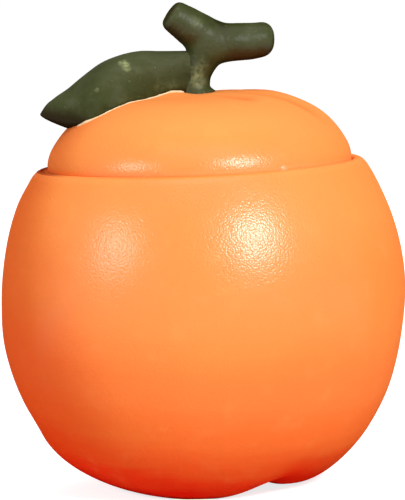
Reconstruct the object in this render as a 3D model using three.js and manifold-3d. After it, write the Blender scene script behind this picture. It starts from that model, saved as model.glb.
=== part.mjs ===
// Tea jar in the shape of a tangerine: a lobed ceramic body, a domed lid with a silicone seal ring,
// and a grip of a twig and a leaf stuck on the lid's crown with slip.
// Millimetres, +Z up. The table is z = 0, the axis of the jar is Z, the front faces -Y.

import * as THREE from "three";
import { mergeVertices } from "three/addons/utils/BufferGeometryUtils.js";
import Module from "manifold-3d";

const { degToRad, lerp, smoothstep } = THREE.MathUtils;
const wasm = await Module();
wasm.setup();

// Body of the fruit
const BODY_RADIUS = 52.5;
const EQUATOR_HEIGHT = 50.7;
const UPPER_RISE = 57.8; // semi-axis of the ellipse above the equator
const FOOT_CUTOFF = 7.4; // how far the belly's curve would run on below the table
const BELLY_POWER = 2.18; // fullness of the belly below the equator
const WALL = 4.5;
const FLOOR_HEIGHT = 8.5; // inside floor above the table
const FLOOR_POWER = 3; // fullness of the turn from wall to floor

// Underside
const HEEL_RADIUS = 34; // where the belly starts to turn under
const CONTACT_RADIUS = 21.5; // ring the lobes stand on
const NAVEL_RISE = 4; // depth of the hollow in the middle
const FOOT_GRIND = 0.5; // ground off the lobes so that they stand flat
const BASE_LOBES = 3;
const BASE_CREASE_AZIMUTH = degToRad(-51);
const LOBE_RISE = 2; // a lobe's ends above its middle
const BASE_CREASE_DEPTH = 1.4;
const BASE_CREASE_WIDTH = 3;
const BASE_RELIEF_HEIGHT = 18; // the lobes fade out at this height

// Rim and mouth
const RIM_RISE = 34.1; // rim above the equator
const RIM_ROUND = 3; // height of the rim's rounded edge
const RIM_ROUND_RUN = 2.4; // how far the rounding runs in over the rim
const LEDGE_WIDTH = 2.9; // rim left showing outside the lid
const SEAT_WIDTH = 4.5; // rim under the lid
const MOUTH_LAND = 6; // straight stretch of the mouth that the seal bears on
const COVE_DEPTH = 11; // from the land down to where the inside meets the belly's wall

// Lid
const LID_EDGE_LIFT = 0.9; // height of the lid's widest line above its seat
const LID_EDGE_ROUND = 8;
const LID_SHOULDER_ROUND = 25;
const LID_CROWN_ROUND = 240;
const LID_SHOULDER_SLOPE = degToRad(60);
const LID_WALL = 4.5;
const LID_LUMPS = [
  { x: -7, y: -3, height: 1.2, spread: 4.5 },
  { x: 25, y: 6, height: 0.8, spread: 11 },
];
const LID_CREASES = [
  { azimuth: -45, depth: 0.9, width: 2.4, from: 4, to: 22 },
  { azimuth: -17, depth: 1.4, width: 2.6, from: 7, to: 37 },
  { azimuth: 32, depth: 1.0, width: 2.5, from: 5, to: 27 },
  { azimuth: 80, depth: 1.2, width: 2.6, from: 5, to: 31 },
  { azimuth: 128, depth: 0.9, width: 2.4, from: 5, to: 25 },
];

// Flange and seal
const FLANGE_WALL = 4;
const FLANGE_LIP = 2.6; // below the groove
const FLANGE_CHAMFER = 1;
const FLANGE_SPACE = 1.6; // between flange and mouth
const GROOVE_TOP = 1; // below the lid's seat
const GROOVE_HEIGHT = 5.4;
const GROOVE_DEPTH = 1;
const SEAL_CLEARANCE = 0.3;
const SEAL_BAND = 1; // thickness of the ring between its fins
const SEAL_FIN = 1.1; // height of a fin where it leaves the band
const SEAL_FIN_TIP = 0.8; // height of a fin at its tip

// Twig: heights are above the lid's crown
const TRUNK_RADIUS = 3.65;
const TRUNK_FLARE = 1.3; // how much the trunk widens at its foot
const BEND_RISE = 8.5; // height of the bend from the trunk into the right arm
const RIGHT_ARM_RADIUS = 4.85;
const RIGHT_ARM_REACH = 18.6; // from the axis to its cut end
const RIGHT_ARM_SWING = 1.5; // how far its end goes back
const RIGHT_ARM_HEIGHT = 13;
const LEFT_ARM_RADIUS = 4.2; // at its cut end
const LEFT_ARM_FORK_RADIUS = 6.09; // where it leaves the right arm
const LEFT_ARM_REACH = 5.1; // from the axis to its cut end
const LEFT_ARM_SWING = 2; // how far its end comes forward
const LEFT_ARM_HEIGHT = 20.2; // of its cut end
const ARM_EDGE_ROUND = 1.6;
const GLUE_GAP = 0.3; // slip joint between the pieces of the grip

// Leaf: the ridge runs from the trunk to the tip, heights above the lid's crown
const LEAF_ROOT_REACH = 2.6; // from the axis to where the leaf starts inside the trunk
const LEAF_REACH = 40.5; // from the axis to the tip
const LEAF_SWING = 4.6; // how far the tip comes forward
const LEAF_ROOT_HEIGHT = 11.9;
const LEAF_TIP_HEIGHT = -3.2;
const LEAF_DROOP_POWER = 2.9; // how late the ridge bends down
const LEAF_HALF_WIDTH = 12;
const LEAF_ROOT_HALF_WIDTH = 3.2;
const LEAF_DROP = 14; // ridge to margin, before the margin is trimmed to the lid
const LEAF_TIP_SHARE = 0.08; // section left at the tip

// Fineness
const TURN_SIDES = 60;
const LIMB_SIDES = 18;

// Sizes that follow
const RIM_HEIGHT = EQUATOR_HEIGHT + RIM_RISE;
const RIM_EDGE_RADIUS = upperRadius(RIM_RISE, BODY_RADIUS, UPPER_RISE);
const LID_RADIUS = RIM_EDGE_RADIUS - LEDGE_WIDTH;
const MOUTH_RADIUS = LID_RADIUS - SEAT_WIDTH;
const FLANGE_RADIUS = MOUTH_RADIUS - FLANGE_SPACE;
const HOLLOW_RADIUS = FLANGE_RADIUS - FLANGE_WALL;
const LID_DOME = lidDome();
const CROWN_HEIGHT = LID_DOME[0].y; // above the lid's seat

const glaze = new THREE.MeshStandardMaterial({ color: 0xf0883a, roughness: 0.45, metalness: 0 });
const olive = new THREE.MeshStandardMaterial({ color: 0x4d5232, roughness: 0.55, metalness: 0 });
const silicone = new THREE.MeshStandardMaterial({ color: 0xe6e4dc, roughness: 0.6, metalness: 0 });

// Radius of the upper ellipse at a height above the equator
function upperRadius(rise, radius, semiAxis) {
  return radius * Math.sqrt(1 - (rise / semiAxis) ** 2);
}

// Height of the belly above the table at a radius below the equator
function bellyHeight(radius) {
  const across = (radius / BODY_RADIUS) ** 2;
  return EQUATOR_HEIGHT - (EQUATOR_HEIGHT + FOOT_CUTOFF) * (1 - across) ** (1 / BELLY_POWER);
}

// Points of a function of a parameter that runs from 0 to 1
function sampled(count, point) {
  return Array.from({ length: count + 1 }, (_, i) => point(i / count));
}

function bend(from, corner, to, count) {
  return new THREE.QuadraticBezierCurve(from, corner, to).getPoints(count);
}

// Outside of the body from the mouth's edge to the middle of the underside
function bodyOutside() {
  const navel = sampled(5, (t) => new THREE.Vector2(
    CONTACT_RADIUS * t,
    NAVEL_RISE * (Math.cos(Math.PI * t) + 1) / 2 - FOOT_GRIND,
  ));
  const heel = new THREE.Vector2(HEEL_RADIUS, bellyHeight(HEEL_RADIUS));
  const step = 0.01;
  const slope = (bellyHeight(HEEL_RADIUS + step) - heel.y) / step;
  const turn = new THREE.Vector2(heel.x - (heel.y + FOOT_GRIND) / slope, -FOOT_GRIND);
  const foot = bend(navel.at(-1), turn, heel, 4);
  const heelAngle = Math.acos(HEEL_RADIUS / BODY_RADIUS);
  const belly = sampled(8, (t) => {
    const radius = BODY_RADIUS * Math.cos(heelAngle * (1 - t));
    return new THREE.Vector2(radius, bellyHeight(radius));
  });
  const shoulderRise = RIM_RISE - RIM_ROUND;
  const shoulder = sampled(7, (t) => new THREE.Vector2(
    upperRadius(shoulderRise * t, BODY_RADIUS, UPPER_RISE),
    EQUATOR_HEIGHT + shoulderRise * t,
  ));
  const edge = new THREE.Vector2(RIM_EDGE_RADIUS, RIM_HEIGHT);
  const ledge = new THREE.Vector2(RIM_EDGE_RADIUS - RIM_ROUND_RUN, RIM_HEIGHT);
  const rim = bend(shoulder.at(-1), edge, ledge, 4);
  const mouth = new THREE.Vector2(MOUTH_RADIUS, RIM_HEIGHT);
  const upwards = [...navel, ...foot.slice(1), ...belly.slice(1), ...shoulder.slice(1), ...rim.slice(1)];
  return [...upwards, mouth].reverse();
}

// Inside of the body from the middle of the floor to the foot of the mouth
function bodyInside() {
  const radius = BODY_RADIUS - WALL;
  const semiAxis = UPPER_RISE - WALL;
  const coveRise = RIM_RISE - MOUTH_LAND - COVE_DEPTH;
  const landFoot = new THREE.Vector2(MOUTH_RADIUS, RIM_HEIGHT - MOUTH_LAND);
  const upper = sampled(3, (t) => new THREE.Vector2(
    upperRadius(coveRise * (1 - t), radius, semiAxis),
    EQUATOR_HEIGHT + coveRise * (1 - t),
  ));
  const depth = EQUATOR_HEIGHT - FLOOR_HEIGHT;
  const lower = sampled(9, (t) => {
    const angle = t * Math.PI / 2;
    return new THREE.Vector2(
      t < 1 ? radius * Math.cos(angle) ** (2 / FLOOR_POWER) : 0,
      EQUATOR_HEIGHT - depth * Math.sin(angle) ** (2 / FLOOR_POWER),
    );
  });
  return [landFoot, ...upper, ...lower.slice(1)].reverse();
}

// How far the underside is lifted between the lobes it stands on
function baseLift(x, y, z) {
  const radius = Math.hypot(x, y);
  const pitch = 2 * Math.PI / BASE_LOBES;
  const turns = (Math.atan2(y, x) - BASE_CREASE_AZIMUTH) / pitch;
  const toCrease = Math.abs(turns - Math.round(turns)) * pitch;
  const ends = (1 - 2 * toCrease / pitch) ** 2;
  const crease = Math.exp(-((toCrease * radius / BASE_CREASE_WIDTH) ** 2));
  const fade = smoothstep(radius, 0, CONTACT_RADIUS / 2) * (1 - smoothstep(z, 0, BASE_RELIEF_HEIGHT));
  return fade * (LOBE_RISE * ends + BASE_CREASE_DEPTH * crease);
}

// Outline of the lid's dome from the crown to its widest line, the seat at zero
function lidDome() {
  const shoulderEnd = LID_RADIUS - LID_EDGE_ROUND * (1 - Math.sin(LID_SHOULDER_SLOPE));
  const crownReach = (shoulderEnd - LID_SHOULDER_ROUND * Math.sin(LID_SHOULDER_SLOPE))
    / (1 - LID_SHOULDER_ROUND / LID_CROWN_ROUND);
  const crownSlope = Math.asin(crownReach / LID_CROWN_ROUND);
  const arcs = [
    { round: LID_CROWN_ROUND, from: 0, to: crownSlope, count: 5 },
    { round: LID_SHOULDER_ROUND, from: crownSlope, to: LID_SHOULDER_SLOPE, count: 6 },
    { round: LID_EDGE_ROUND, from: LID_SHOULDER_SLOPE, to: Math.PI / 2, count: 3 },
  ];
  const outline = [new THREE.Vector2(0, 0)];
  for (const { round, from, to, count } of arcs) {
    const start = outline.at(-1);
    const arc = sampled(count, (t) => {
      const slope = lerp(from, to, t);
      return new THREE.Vector2(
        start.x + round * (Math.sin(slope) - Math.sin(from)),
        start.y - round * (Math.cos(from) - Math.cos(slope)),
      );
    });
    outline.push(...arc.slice(1));
  }
  const rise = LID_EDGE_LIFT - outline.at(-1).y;
  return outline.map((point) => new THREE.Vector2(point.x, point.y + rise));
}

// Underside of the lid: rolled edge, seat, flange with its groove, and the hollow
function lidUnderside() {
  const roll = sampled(3, (t) => new THREE.Vector2(
    LID_RADIUS - LID_EDGE_LIFT * (1 - Math.cos(t * Math.PI / 2)),
    LID_EDGE_LIFT * (1 - Math.sin(t * Math.PI / 2)),
  ));
  const grooveRadius = FLANGE_RADIUS - GROOVE_DEPTH;
  const grooveFoot = GROOVE_TOP + GROOVE_HEIGHT;
  const flangeDepth = grooveFoot + FLANGE_LIP;
  const flange = [
    new THREE.Vector2(FLANGE_RADIUS, 0),
    new THREE.Vector2(FLANGE_RADIUS, -GROOVE_TOP),
    new THREE.Vector2(grooveRadius, -GROOVE_TOP),
    new THREE.Vector2(grooveRadius, -grooveFoot),
    new THREE.Vector2(FLANGE_RADIUS, -grooveFoot),
    new THREE.Vector2(FLANGE_RADIUS, FLANGE_CHAMFER - flangeDepth),
    new THREE.Vector2(FLANGE_RADIUS - FLANGE_CHAMFER, -flangeDepth),
    new THREE.Vector2(HOLLOW_RADIUS, -flangeDepth),
  ];
  const hollowHeight = CROWN_HEIGHT - LID_WALL;
  const hollow = sampled(7, (t) => new THREE.Vector2(
    t < 1 ? HOLLOW_RADIUS * Math.cos(t * Math.PI / 2) : 0,
    hollowHeight * Math.sin(t * Math.PI / 2),
  ));
  return [...roll.slice(1), ...flange, ...hollow];
}

// Height that the lumps add to the dome and its creases take away
function lidRelief(x, y) {
  let height = 0;
  for (const lump of LID_LUMPS) {
    const away = Math.hypot(x - lump.x, y - lump.y) / lump.spread;
    height += lump.height * Math.exp(-(away ** 2));
  }
  for (const { azimuth, depth, width, from, to } of LID_CREASES) {
    const along = x * Math.cos(degToRad(azimuth)) + y * Math.sin(degToRad(azimuth));
    const across = y * Math.cos(degToRad(azimuth)) - x * Math.sin(degToRad(azimuth));
    const middle = (from + to) / 2;
    const fade = smoothstep(along, from, middle) * (1 - smoothstep(along, middle, to));
    height -= depth * fade * Math.exp(-((across / width) ** 2));
  }
  return height;
}

// Closed solid from triangles over a list of points
function solidFrom(points, triangles) {
  const geometry = new THREE.BufferGeometry();
  geometry.setAttribute("position", new THREE.Float32BufferAttribute(points.flat(), 3));
  geometry.setIndex(triangles);
  return geometry;
}

// A profile turned round Z that starts and ends on the axis, given as stretches with their relief
function turned(stretches) {
  const points = [];
  const rings = [];
  for (const { outline, relief = () => 0 } of stretches) {
    for (const { x: radius, y: height } of outline) {
      const count = radius === 0 ? 1 : TURN_SIDES;
      rings.push({ first: points.length, count });
      for (let side = 0; side < count; side += 1) {
        const angle = side * 2 * Math.PI / TURN_SIDES;
        const x = radius * Math.cos(angle);
        const y = radius * Math.sin(angle);
        points.push([x, y, height + relief(x, y, height)]);
      }
    }
  }
  const triangles = [];
  const corner = ({ first, count }, side) => first + (side % count);
  for (let ring = 0; ring + 1 < rings.length; ring += 1) {
    const [near, far] = [rings[ring], rings[ring + 1]];
    for (let side = 0; side < TURN_SIDES; side += 1) {
      if (near.count > 1) triangles.push(corner(near, side), corner(far, side), corner(near, side + 1));
      if (far.count > 1) triangles.push(corner(near, side + 1), corner(far, side), corner(far, side + 1));
    }
  }
  return solidFrom(points, triangles);
}

function toManifold(geometry) {
  const bare = geometry.clone();
  bare.deleteAttribute("normal");
  bare.deleteAttribute("uv");
  const merged = mergeVertices(bare, 1e-4);
  return new wasm.Manifold(new wasm.Mesh({
    numProp: 3,
    vertProperties: new Float32Array(merged.attributes.position.array),
    triVerts: new Uint32Array(merged.index.array),
  }));
}

function toGeometry(solid) {
  const mesh = solid.getMesh();
  const geometry = new THREE.BufferGeometry();
  geometry.setAttribute("position", new THREE.Float32BufferAttribute(mesh.vertProperties, 3));
  geometry.setIndex(Array.from(mesh.triVerts));
  return geometry;
}

function namedMesh(name, geometry, material) {
  geometry.computeVertexNormals();
  const mesh = new THREE.Mesh(geometry, material);
  mesh.name = name;
  return mesh;
}

// Body with the lobes ground flat on the table
function jarBody() {
  const shell = turned([
    { outline: bodyInside() },
    { outline: bodyOutside(), relief: baseLift },
  ]);
  const span = 4 * BODY_RADIUS;
  const grinder = new THREE.BoxGeometry(span, span, span).translate(0, 0, -span / 2);
  return namedMesh("jar_body", toGeometry(toManifold(shell).subtract(toManifold(grinder))), glaze);
}

function lid() {
  const shell = turned([
    { outline: LID_DOME, relief: lidRelief },
    { outline: lidUnderside() },
  ]);
  return namedMesh("lid", shell, glaze);
}

// Space the lid's dome takes up, grown by a gap, for fitting pieces to it
function lidSpace(gap) {
  const raised = LID_DOME.map((point) => new THREE.Vector2(point.x && point.x + gap, point.y + gap));
  const floor = [new THREE.Vector2(LID_RADIUS + gap, 0), new THREE.Vector2(0, 0)];
  return toManifold(turned([{ outline: raised, relief: lidRelief }, { outline: floor }]));
}

// Ring that sits in the flange's groove, with two fins towards the mouth
function sealRing() {
  const inner = FLANGE_RADIUS - GROOVE_DEPTH + SEAL_CLEARANCE;
  const band = inner + SEAL_BAND;
  const tip = MOUTH_RADIUS - SEAL_CLEARANCE;
  const top = -GROOVE_TOP - SEAL_CLEARANCE;
  const foot = -GROOVE_TOP - GROOVE_HEIGHT + SEAL_CLEARANCE;
  const outline = [
    [inner, foot], [band, foot], [tip, foot + SEAL_FIN - SEAL_FIN_TIP], [tip, foot + SEAL_FIN],
    [band, foot + SEAL_FIN], [band, top - SEAL_FIN], [tip, top - SEAL_FIN_TIP], [tip, top],
    [inner, top], [inner, foot],
  ].map(([radius, height]) => new THREE.Vector2(radius, height));
  const ring = new THREE.LatheGeometry(outline, TURN_SIDES).rotateX(Math.PI / 2);
  ring.deleteAttribute("normal");
  ring.deleteAttribute("uv");
  return namedMesh("seal_ring", mergeVertices(ring, 1e-4), silicone);
}

// Limb of the twig above the crown: round sections along a curve, with rounded cut ends
function limb(path, radiusAt, count, grown) {
  const capSteps = 3;
  const frames = path.computeFrenetFrames(count);
  const rings = [];
  const addRing = (t, frame, shift, shrink) => {
    const centre = path.getPointAt(t).addScaledVector(frames.tangents[frame], shift);
    rings.push({ centre, frame, radius: radiusAt(t) + grown - shrink });
  };
  const capAngles = sampled(capSteps, (t) => t * Math.PI / 2);
  for (const angle of capAngles.slice(1).reverse()) {
    addRing(0, 0, -ARM_EDGE_ROUND * Math.sin(angle) - grown, ARM_EDGE_ROUND * (1 - Math.cos(angle)));
  }
  for (let i = 0; i <= count; i += 1) addRing(i / count, i, 0, 0);
  for (const angle of capAngles.slice(1)) {
    addRing(1, count, ARM_EDGE_ROUND * Math.sin(angle) + grown, ARM_EDGE_ROUND * (1 - Math.cos(angle)));
  }
  const points = [];
  for (const { centre, frame, radius } of rings) {
    for (let side = 0; side < LIMB_SIDES; side += 1) {
      const angle = side * 2 * Math.PI / LIMB_SIDES;
      const point = centre.clone()
        .addScaledVector(frames.normals[frame], radius * Math.cos(angle))
        .addScaledVector(frames.binormals[frame], radius * Math.sin(angle));
      points.push(point.toArray());
    }
  }
  const startCentre = points.push(rings[0].centre.toArray()) - 1;
  const endCentre = points.push(rings.at(-1).centre.toArray()) - 1;
  const triangles = [];
  const corner = (ring, side) => ring * LIMB_SIDES + (side % LIMB_SIDES);
  const last = rings.length - 1;
  for (let side = 0; side < LIMB_SIDES; side += 1) {
    triangles.push(startCentre, corner(0, side + 1), corner(0, side));
    triangles.push(endCentre, corner(last, side), corner(last, side + 1));
    for (let ring = 0; ring < last; ring += 1) {
      triangles.push(corner(ring, side), corner(ring, side + 1), corner(ring + 1, side));
      triangles.push(corner(ring, side + 1), corner(ring + 1, side + 1), corner(ring + 1, side));
    }
  }
  return toManifold(solidFrom(points, triangles).translate(0, 0, CROWN_HEIGHT));
}

// Trunk bent into the right arm, joined with the left arm, grown by a gap for fitting the leaf to it
function twig(grown) {
  const mainPath = new THREE.CatmullRomCurve3([
    new THREE.Vector3(0, 0, -LID_WALL / 2),
    new THREE.Vector3(0, 0, RIGHT_ARM_HEIGHT - BEND_RISE),
    new THREE.Vector3(BEND_RISE * 0.3, 0, RIGHT_ARM_HEIGHT - BEND_RISE * 0.3),
    new THREE.Vector3(BEND_RISE, 0, RIGHT_ARM_HEIGHT),
    new THREE.Vector3(RIGHT_ARM_REACH, RIGHT_ARM_SWING, RIGHT_ARM_HEIGHT),
  ]);
  const mainRadius = (t) => (
    lerp(TRUNK_RADIUS, RIGHT_ARM_RADIUS, smoothstep(t, 0.2, 0.6)) + TRUNK_FLARE * (1 - t) ** 16
  );
  const leftPath = new THREE.LineCurve3(
    new THREE.Vector3(BEND_RISE * 0.65, 0, RIGHT_ARM_HEIGHT - BEND_RISE * 0.15),
    new THREE.Vector3(-LEFT_ARM_REACH, -LEFT_ARM_SWING, LEFT_ARM_HEIGHT),
  );
  const leftRadius = (t) => lerp(LEFT_ARM_FORK_RADIUS, LEFT_ARM_RADIUS, t);
  return limb(mainPath, mainRadius, 14, grown)
    .add(limb(leftPath, leftRadius, 5, grown));
}

function stem() {
  return namedMesh("stem", toGeometry(twig(0).subtract(lidSpace(GLUE_GAP))), olive);
}

// Thick blade: an arched section at each step along the ridge, closed underneath by a straight line
function leafBlade() {
  const ridge = new THREE.CatmullRomCurve3(sampled(6, (t) => new THREE.Vector3(
    -lerp(LEAF_ROOT_REACH, LEAF_REACH, t),
    -LEAF_SWING * Math.sin(t * Math.PI / 2),
    lerp(LEAF_ROOT_HEIGHT, LEAF_TIP_HEIGHT, t ** LEAF_DROOP_POWER),
  )));
  const lengthSteps = 18;
  const archSteps = 14;
  const points = [];
  for (let i = 0; i <= lengthSteps; i += 1) {
    const t = i / lengthSteps;
    const tipFade = lerp(LEAF_TIP_SHARE, 1, 1 - t ** 4);
    const spread = Math.sin(Math.PI * t ** 1.15) ** 0.8;
    const halfWidth = lerp(LEAF_ROOT_HALF_WIDTH * tipFade, LEAF_HALF_WIDTH, spread);
    const heading = ridge.getTangentAt(t).setZ(0).normalize();
    const sideways = new THREE.Vector3(-heading.y, heading.x, 0);
    points.push(...sampled(archSteps, (s) => {
      const angle = (2 * s - 1) * Math.PI / 2;
      const down = LEAF_DROP * tipFade * (1 - Math.cos(angle));
      return ridge.getPointAt(t)
        .addScaledVector(sideways, halfWidth * Math.sin(angle))
        .add(new THREE.Vector3(0, 0, -down))
        .toArray();
    }));
  }
  const around = archSteps + 1;
  const corner = (row, place) => row * around + (place % around);
  const triangles = [];
  for (let place = 0; place < around; place += 1) {
    for (let row = 0; row < lengthSteps; row += 1) {
      triangles.push(corner(row, place), corner(row + 1, place), corner(row, place + 1));
      triangles.push(corner(row, place + 1), corner(row + 1, place), corner(row + 1, place + 1));
    }
  }
  for (let place = 1; place < archSteps; place += 1) {
    triangles.push(corner(0, 0), corner(0, place), corner(0, place + 1));
    triangles.push(corner(lengthSteps, 0), corner(lengthSteps, place + 1), corner(lengthSteps, place));
  }
  return toManifold(solidFrom(points, triangles).translate(0, 0, CROWN_HEIGHT));
}

function leaf() {
  const trimmed = leafBlade().subtract(lidSpace(GLUE_GAP)).subtract(twig(GLUE_GAP));
  return namedMesh("leaf", toGeometry(trimmed), olive);
}

const closure = new THREE.Group();
closure.name = "closure";
closure.position.z = RIM_HEIGHT;
closure.add(lid(), sealRing(), stem(), leaf());

const jar = new THREE.Group();
jar.name = "tea_jar";
jar.add(jarBody(), closure);

export default jar;
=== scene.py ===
"""Looks of the tangerine tea jar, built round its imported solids.

Shapes are worked out in millimetres, with +Z up and the front towards -Y. They become metres in
new_piece(). A constant of two values, low and high, is a range over which something fades in.
"""
import math

import bpy
import numpy as np
from mathutils import Matrix, Vector


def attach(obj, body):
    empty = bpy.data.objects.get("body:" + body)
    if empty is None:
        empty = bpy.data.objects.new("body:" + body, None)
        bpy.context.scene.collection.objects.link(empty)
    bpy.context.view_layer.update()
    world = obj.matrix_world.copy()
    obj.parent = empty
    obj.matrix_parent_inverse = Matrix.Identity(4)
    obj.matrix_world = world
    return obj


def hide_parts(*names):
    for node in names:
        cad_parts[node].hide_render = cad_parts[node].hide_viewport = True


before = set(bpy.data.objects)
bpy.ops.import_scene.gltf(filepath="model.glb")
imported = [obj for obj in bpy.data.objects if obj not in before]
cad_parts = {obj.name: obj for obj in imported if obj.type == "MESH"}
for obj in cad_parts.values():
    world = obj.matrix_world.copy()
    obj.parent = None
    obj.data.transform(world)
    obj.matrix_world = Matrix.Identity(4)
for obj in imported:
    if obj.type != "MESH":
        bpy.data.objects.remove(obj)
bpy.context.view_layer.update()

MM = 0.001

# Body: an ellipse above the equator and a superellipse below it, with a wall and a rounded floor
BODY_RADIUS = 52.5
EQUATOR_HEIGHT = 50.7
UPPER_RISE = 57.8
FOOT_CUTOFF = 7.4
BELLY_POWER = 2.18
WALL = 4.5
FLOOR_HEIGHT = 8.5
FLOOR_POWER = 3

# Underside: lobes parted by creases, ground flat where they stand, round a hollow navel
HEEL_RADIUS = 34
CONTACT_RADIUS = 21.5
NAVEL_RISE = 4
FOOT_GRIND = 0.5
GROUND_HEIGHTS = (-0.05, 0.15)
BASE_LOBES = 3
BASE_CREASE_AZIMUTH = math.radians(-51)
LOBE_RISE = 2.6
LOBE_LEANS = np.array([1.2, 1.2, 1.5])
LOBE_ROLL_IN = 8
BASE_CREASE_DEPTH = 1.4
BASE_CREASE_WIDTH = 3.2
LOBE_MEETING_ROUND = 0.2
BASE_RELIEF_HEIGHT = 18
BASE_CREASE_HEIGHT = 4

# Rim: the lid's seat and a lip round it, which tilts a little and stands off the lid at the left
RIM_RISE = 34.1
RIM_ROUND = 2
RIM_ROUND_RUN = 1.1
RIM_REACH = 10
LIP_RISE = 0.9
LIP_GAP = 0.14
LIP_ROUND = 0.5
LIP_FADE = 0.05
LIP_SET = -0.3
LIP_TILT = 0.0135
LEFT_GAP = 1.5
LEFT_GAP_NARROWING = 4
LEFT_GAP_FADE = 0.4
LEDGE_WIDTH = 2.9
SEAT_WIDTH = 4.5
SEAT_MARGIN = 0.1
MOUTH_EDGE = 1
MOUTH_LAND = 6
COVE_DEPTH = 11

# How far the body's sides swell past its turned outline, by height
SIDE_HEIGHTS = (0, 6, 12, 17, 24, 32, 40, 50, 60, 72, 85)
LEFT_SWELL = (2.6, 2.9, 2.1, 1.05, 1.0, 1.1, 1.15, 0.65, 0.38, 0.5, 0.7)
RIGHT_SWELL = (0.3, 0.4, 0.25, 0.05, 0, -0.18, -0.13, 0.34, 0.40, 0.36, 0.3)
SWELL_NARROWING = 1.5
SWELL_CORE = 20

# Lid: a dome of three arcs with a flared and rolled edge, a flange with a groove, and a hollow
LID_EDGE_LIFT = 0.9
LID_EDGE_ROLL = 0.5
LID_FLARE = 0.35
LID_FLARE_HEIGHT = 6
LID_EDGE_ROUND = 8
LID_SHOULDER_ROUND = 25
LID_CROWN_ROUND = 240
LID_SHOULDER_SLOPE = math.radians(60)
LID_WALL = 4.5
FLANGE_WALL = 4
FLANGE_LIP = 2.6
FLANGE_CHAMFER = 1
FLANGE_SPACE = 1.6
GROOVE_TOP = 1
GROOVE_HEIGHT = 5.4
GROOVE_DEPTH = 1

# Lumps of the crown: x, y, height, spread
LID_LUMPS = ((-7, -3, 1.2, 4.5), (14.5, 5, 1.05, 13), (34, 0, 0.6, 6))
# Creases of the crown: azimuth in degrees, depth, width, start and end along the crease
LID_CREASES = (
    (-49, 1.0, 2.3, 5, 25),
    (-17, 1.4, 2.2, 8, 37),
    (32, 1.0, 2.5, 5, 27),
    (80, 1.2, 2.6, 5, 31),
    (128, 0.9, 2.4, 5, 25),
)

# Seal: a band with two fins in the flange's groove
SEAL_CLEARANCE = 0.3
SEAL_BAND = 1
SEAL_FIN = 1.1
SEAL_FIN_TIP = 0.8

# Where the body's glaze changes: a deep red painted shade by the underside's creases, paler on the crest and
# shoulders (partly thin glaze, partly painted light), a painted shade on the left flank, and a dark painted
# shade in the gap at the left
DEEP_RED_REACH = 13
DEEP_RED_SPILL = 4.5
DEEP_RED_HEIGHT = 12
DEEP_RED_LEFT = (4, 22)
DEEP_RED_LEFT_LOSS = 0.75
CREST_TOP = 0.2
CREST_PALENESS = 0.35
SHOULDER_HEIGHTS = (56, 76)
SHOULDER_SIDES = (8, 26)
SHOULDER_LEFT_END = (-46, -34)
SHOULDER_PALENESS = 0.4
FLANK_TURN = (0.78, 0.97)
GAP_SHADE_TURN = (0.78, 1.0)
GAP_SHADE_SPREAD = 1.5
GAP_SHADE_SHARE = 0.85

# Where the lid's glaze changes: paler as painted light along the edge, on top and on the sides, none on the
# seat, lining underneath
LID_EDGE_PALE_HEIGHTS = (0, 1.6)
LID_EDGE_PALE_SIDE = (-18, 14)
LID_TOP_HEIGHTS = (3, 13)
LID_TOP_PALENESS = 0.65
LID_SIDES = (12, 30)
LID_SIDE_PALENESS = 0.35
SEAT_BARE_HEIGHT = 0.15
SEAT_BARE_START = 0.4
LINING_END = 0.5

# Fineness of the meshes
TURN_SIDES = 240
INSIDE_STEP = 1.2
RIM_STEP = 0.18
OUTSIDE_STEP = 0.8
LID_STEP = 0.46
LID_EDGE_STEP = 0.14
LID_EDGE_POINTS = 15
SEAL_STEP = 0.14
TUBE_SPANS = 39
TUBE_SIDES = 32
TWIG_VOXEL = 0.35
TWIG_ROUNDS = 8
TWIG_LONGEST_STEP = 0.4
TWIG_LEAST_STEEPNESS = 0.2
LEAF_SECTIONS = 150
LEAF_TOP_POINTS = 61
LEAF_UNDER_POINTS = 31
BEAD_POINTS = 40


def rounded_step(value, low, high):
    """0 below low, 1 above high, and a smooth S between them."""
    share = np.clip((value - low) / (high - low), 0, 1)
    return share * share * (3 - 2 * share)


def between(first, second, share):
    """A share of the way from the first value to the second."""
    return first + (second - first) * share


def upper_radius(rise, radius, semi_axis):
    """Radius of an upright ellipse at a height above its middle."""
    return radius * np.sqrt(1 - (rise / semi_axis) ** 2)


def belly_height(radius):
    """Height of the belly's superellipse at a radius below the equator."""
    across = (radius / BODY_RADIUS) ** 2
    return EQUATOR_HEIGHT - (EQUATOR_HEIGHT + FOOT_CUTOFF) * (1 - across) ** (1 / BELLY_POWER)


RIM_HEIGHT = EQUATOR_HEIGHT + RIM_RISE
SEAT_HEIGHT = RIM_HEIGHT - LIP_RISE
RIM_EDGE_RADIUS = upper_radius(RIM_RISE, BODY_RADIUS, UPPER_RISE)
LID_RADIUS = RIM_EDGE_RADIUS - LEDGE_WIDTH
LIP_RADIUS = LID_RADIUS + LID_FLARE + LIP_GAP
MOUTH_RADIUS = LID_RADIUS - SEAT_WIDTH
FLANGE_RADIUS = MOUTH_RADIUS - FLANGE_SPACE
HOLLOW_RADIUS = FLANGE_RADIUS - FLANGE_WALL


def bend(start, corner, end):
    """Quadratic curve from start to end that leaves and arrives along the lines to a corner."""
    t = np.linspace(0, 1, 40)[:, None]
    start, corner, end = (np.array(point, float) for point in (start, corner, end))
    return start * (1 - t) ** 2 + corner * 2 * t * (1 - t) + end * t ** 2


def even_outline(stretches, step, soften=2):
    """One outline through stretches of (radius, height), at even steps, its corners softened by
    averaging."""
    points = np.vstack(stretches)
    lengths = np.concatenate([[0], np.cumsum(np.hypot(*np.diff(points, axis=0).T))])
    places = np.linspace(0, lengths[-1], int(lengths[-1] / step))
    outline = np.column_stack([np.interp(places, lengths, column) for column in points.T])
    for _ in range(soften):
        outline[1:-1] = (outline[:-2] + 2 * outline[1:-1] + outline[2:]) / 4
    return outline


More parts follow.
